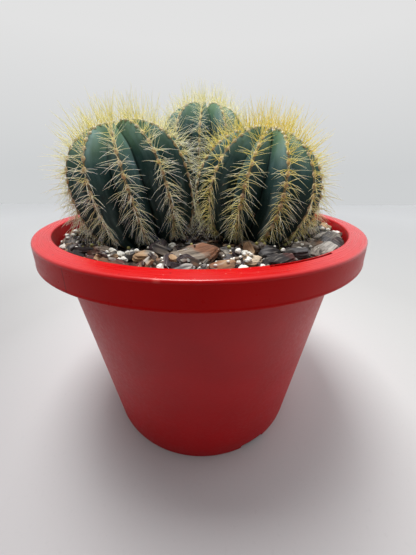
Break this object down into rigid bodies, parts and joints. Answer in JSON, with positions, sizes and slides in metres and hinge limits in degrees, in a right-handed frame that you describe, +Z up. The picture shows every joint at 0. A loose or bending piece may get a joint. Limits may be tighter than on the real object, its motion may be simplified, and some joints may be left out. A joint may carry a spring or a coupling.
{
  "type": "potted round cactus",
  "caption": "Clump of round ribbed cacti with golden spines in a tapered red plastic pot, mulched with bark chips and pumice.",
  "frame": {"origin": "on the pot's axis at the level of its foot, which is the bottom centre of the whole object's box", "axes": "+Z up along the pot's axis, -Y towards the front, +X to the right as seen from the front"},
  "size_m": [0.2016, 0.2016, 0.2359],
  "materials": {
    "red_plastic": "moulded red plastic, satin on the wall and smoother on the skirt, lightly scuffed on the ledge",
    "potting_mix": "dark, loose, granular potting mix",
    "cactus_skin": "waxy blue-green skin with a pale bloom, woolly tan areoles along the crests",
    "spines": "golden to straw-white bristle spines, glossy and slightly translucent",
    "bark": "weathered grey-brown pine bark with reddish broken faces",
    "pumice": "off-white, finely pitted pumice"
  },
  "bodies": {
    "root": {"bark_chip_back_01": "bark", "bark_chip_back_02": "bark", "bark_chip_back_03": "bark", "bark_chip_back_04": "bark", "bark_chip_back_05": "bark", "bark_chip_back_06": "bark", "bark_chip_back_07": "bark", "bark_chip_back_08": "bark", "bark_chip_back_09": "bark", "bark_chip_back_10": "bark", "bark_chip_big_brown": "bark", "bark_chip_big_grey": "bark", "bark_chip_brown_long": "bark", "bark_chip_brown_nugget": "bark", "bark_chip_brown_small": "bark", "bark_chip_dark_flat": "bark", "bark_chip_dark_left": "bark", "bark_chip_dark_right": "bark", "bark_chip_dark_step": "bark", "bark_chip_flat_shelf": "bark", "bark_chip_grey_long": "bark", "bark_chip_light_grey": "bark", "bark_chip_pale_flat": "bark", "bark_chip_pale_grey": "bark", "bark_chip_purple_black": "bark", "bark_chip_red_black": "bark", "bark_chip_red_brown": "bark", "bark_chip_ribbed_grey": "bark", "bark_chip_round_brown": "bark", "bark_chip_slate": "bark", "bark_chip_tan": "bark", "bark_chip_tan_right": "bark", "bark_chip_wall_grey": "bark", "pot": "red_plastic", "potting_mix": "potting_mix", "pumice_01": "pumice", "pumice_02": "pumice", "pumice_03": "pumice", "pumice_04": "pumice", "pumice_05": "pumice", "pumice_06": "pumice", "pumice_07": "pumice", "pumice_08": "pumice", "pumice_09": "pumice", "pumice_10": "pumice", "pumice_11": "pumice", "pumice_12": "pumice", "pumice_13": "pumice", "pumice_14": "pumice", "pumice_15": "pumice", "pumice_16": "pumice", "spines_left": "spines", "spines_rear": "spines", "spines_right": "spines", "stem_left": "cactus_skin", "stem_rear": "cactus_skin", "stem_right": "cactus_skin"}
  },
  "joints": []
}
